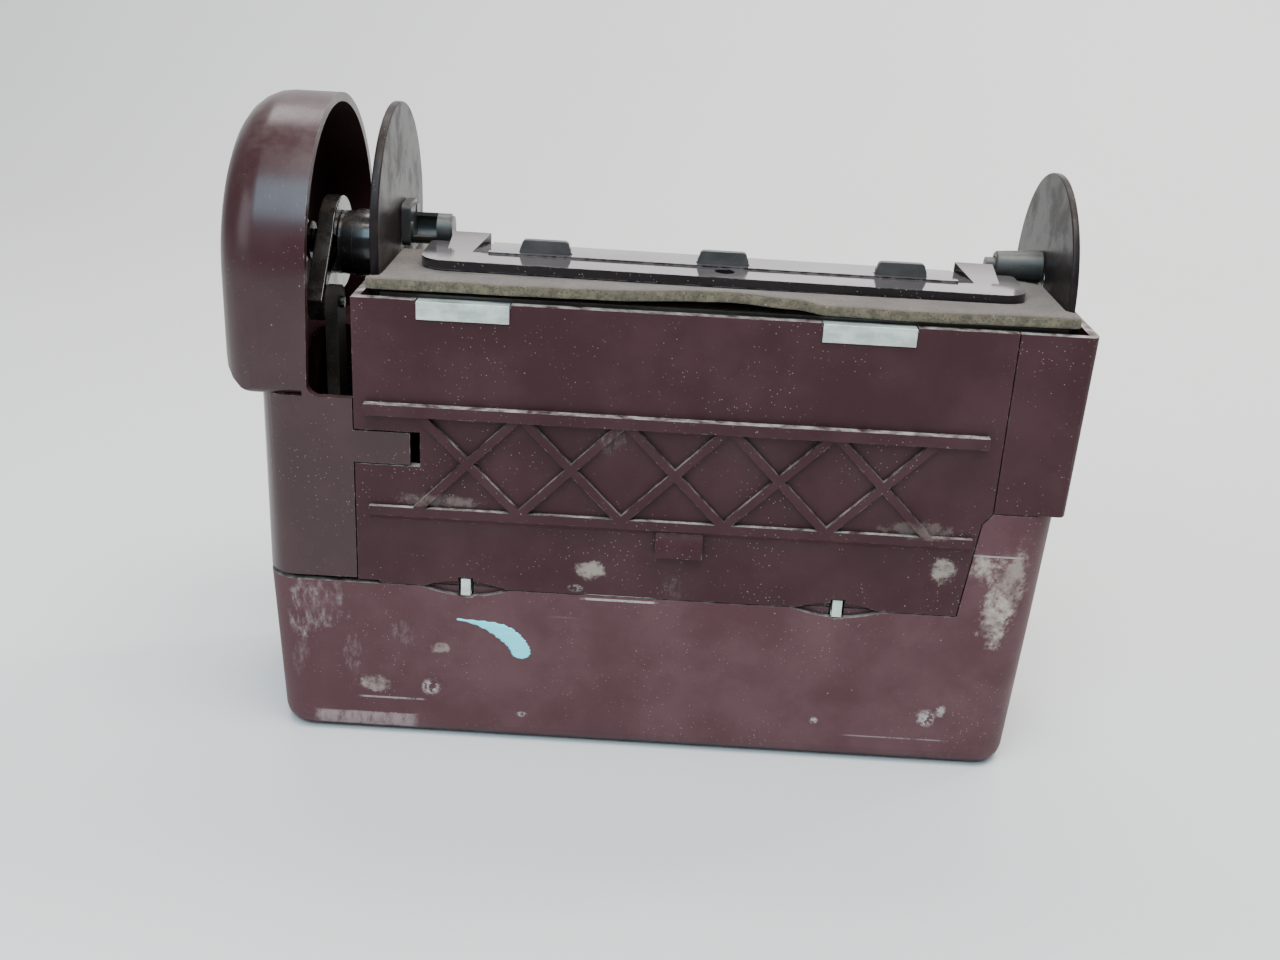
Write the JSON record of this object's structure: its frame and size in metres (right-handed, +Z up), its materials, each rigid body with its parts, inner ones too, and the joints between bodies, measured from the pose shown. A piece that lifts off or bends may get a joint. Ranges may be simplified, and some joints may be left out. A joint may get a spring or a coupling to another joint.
{
  "type": "tape roll dispenser unit",
  "caption": "Boxy roll dispenser: two flanged heads hold a roll over a gasketed deck with a glossy guide plate; a hooded crank, link and sprung slider swing the left head.",
  "frame": {"origin": "middle of the bounding box in plan, on the floor the tub stands on", "axes": "+X from the hooded end to the plain end, along the front panel; +Y from the front panel to the rear panel; +Z up"},
  "size_m": [0.2232, 0.0864, 0.1717],
  "materials": {
    "tub_plastic": "dark brown, dull, scuffed",
    "shell_plastic": "dark maroon brown, fine satin grain",
    "hood_plastic": "blue-black satin",
    "black_plastic": "satin black",
    "gloss_black": "high gloss black",
    "grey_plastic": "dull dark grey",
    "bearing_plastic": "natural acetal, slightly waxy",
    "foam": "brown open-cell foam",
    "zinc_sheet": "dull zinc plate",
    "steel": "turned steel"
  },
  "bodies": {
    "housing": {"base_tub": "tub_plastic", "left_end_cover": "hood_plastic", "front_panel": "shell_plastic", "right_end_cover": "shell_plastic", "rear_panel": "shell_plastic", "top_deck": "black_plastic", "foam_gasket": "foam", "guide_plate": "gloss_black", "retaining_hook_1": "grey_plastic", "retaining_hook_2": "grey_plastic", "retaining_hook_3": "grey_plastic", "panel_clip_1": "zinc_sheet", "panel_clip_2": "zinc_sheet", "latch_tongue_1": "zinc_sheet", "latch_tongue_2": "zinc_sheet", "rear_screw_1": "steel", "rear_screw_2": "steel", "rear_screw_3": "steel", "rear_screw_4": "steel", "hub_bush": "bearing_plastic", "slider_guide": "black_plastic", "return_spring": "steel", "right_bush": "bearing_plastic"},
    "left_head": {"head_shaft": "steel", "shaft_ring": "steel", "head_boss": "black_plastic", "left_disc": "black_plastic", "left_spigot": "grey_plastic", "crank_arm": "black_plastic", "crank_pin": "steel"},
    "link": {"link_bar": "black_plastic"},
    "slider": {"tension_slider": "bearing_plastic", "slider_pin": "steel"},
    "right_head": {"right_pivot": "steel", "right_disc": "black_plastic", "right_spigot": "grey_plastic"},
    "right_tip": {"right_plunger": "grey_plastic", "right_plunger_spring": "steel"}
  },
  "joints": [
    {"name": "crank_swing", "type": "hinge", "parent": "housing", "child": "left_head", "pos_m": [-0.0896, 0.0022, 0.1314], "axis": [1, 0, 0], "range_deg": [-12, 20], "stiffness_Nm_per_rad": 0.22},
    {"name": "link_pivot", "type": "hinge", "parent": "left_head", "child": "link", "pos_m": [-0.0856, -0.0188, 0.12], "axis": [1, 0, 0], "range_deg": [-25.5, 15.5]},
    {"name": "slider_travel", "type": "slide", "parent": "housing", "child": "slider", "axis": [0, 0, 1], "range_m": [-0.0072, 0.0045], "deforming": ["return_spring"]},
    {"name": "right_head_turn", "type": "hinge", "parent": "housing", "child": "right_head", "pos_m": [0.1074, 0.0022, 0.1314], "axis": [1, 0, 0], "range_deg": [-12, 20]},
    {"name": "right_tip_press", "type": "slide", "parent": "right_head", "child": "right_tip", "axis": [1, 0, 0], "range_m": [0, 0.0025], "stiffness_N_per_m": 300, "springref_m": -0.002}
  ],
  "couplings": [
    {"joint": "link_pivot", "follows": "crank_swing", "ratio": -1.244},
    {"joint": "slider_travel", "follows": "crank_swing", "m_per_rad": -0.0195}
  ]
}
